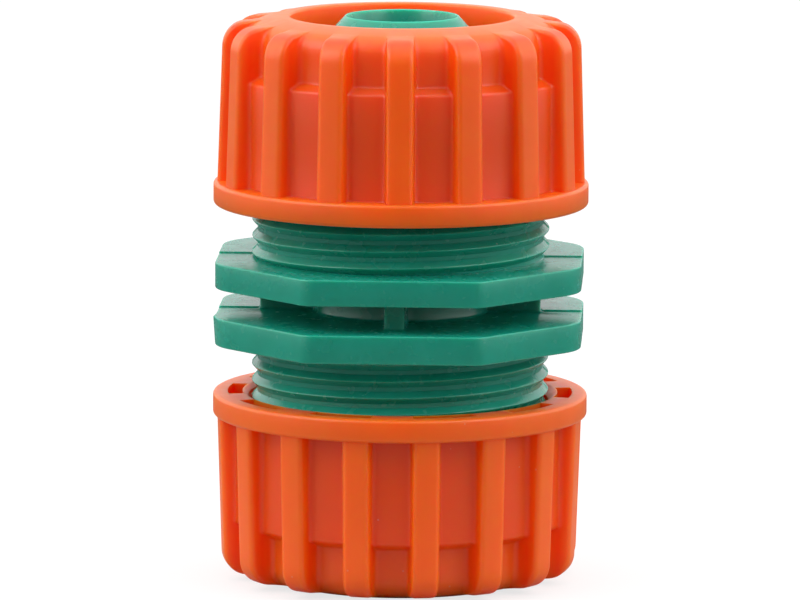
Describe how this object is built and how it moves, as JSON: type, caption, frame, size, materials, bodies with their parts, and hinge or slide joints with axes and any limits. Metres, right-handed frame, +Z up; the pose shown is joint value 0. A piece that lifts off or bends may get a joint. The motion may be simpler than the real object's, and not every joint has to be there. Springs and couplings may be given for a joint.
{
  "type": "hose mender",
  "caption": "Hose mender: barbed nipple at each end, octagonal grip flanges in the middle, and ribbed clamping nuts screwed over threaded cups.",
  "frame": {"origin": "on the common axis, at the end face of the lower nut, which the mender stands on", "axes": "+Z up along the common axis of the nipples and nuts; -Y towards the front, square to a flat of each flange"},
  "size_m": [0.036, 0.036, 0.0544],
  "materials": {
    "green_plastic": "satin",
    "orange_plastic": "satin",
    "clamp_ring_plastic": "matte"
  },
  "bodies": {
    "body": {"body": "green_plastic"},
    "upper_clamp_ring": {"upper_clamp_ring": "clamp_ring_plastic"},
    "upper_nut": {"upper_nut": "orange_plastic"},
    "lower_clamp_ring": {"lower_clamp_ring": "clamp_ring_plastic"},
    "lower_nut": {"lower_nut": "orange_plastic"}
  },
  "joints": [
    {"name": "upper_ring_slide", "type": "slide", "parent": "body", "child": "upper_clamp_ring", "axis": [0, 0, 1], "range_m": [-0.00441, 0.00339]},
    {"name": "upper_nut_turn", "type": "hinge", "parent": "upper_clamp_ring", "child": "upper_nut", "pos_m": [0, 0, 0.0454], "axis": [0, 0, 1], "range_deg": [-992, 762]},
    {"name": "lower_ring_slide", "type": "slide", "parent": "body", "child": "lower_clamp_ring", "axis": [0, 0, -1], "range_m": [-0.00476, 0.00305]},
    {"name": "lower_nut_turn", "type": "hinge", "parent": "lower_clamp_ring", "child": "lower_nut", "pos_m": [0, 0, 0.009], "axis": [0, 0, -1], "range_deg": [-1069, 685]}
  ],
  "couplings": [
    {"joint": "upper_ring_slide", "follows": "upper_nut_turn", "m_per_rad": 0.00025465},
    {"joint": "lower_ring_slide", "follows": "lower_nut_turn", "m_per_rad": 0.00025465}
  ]
}
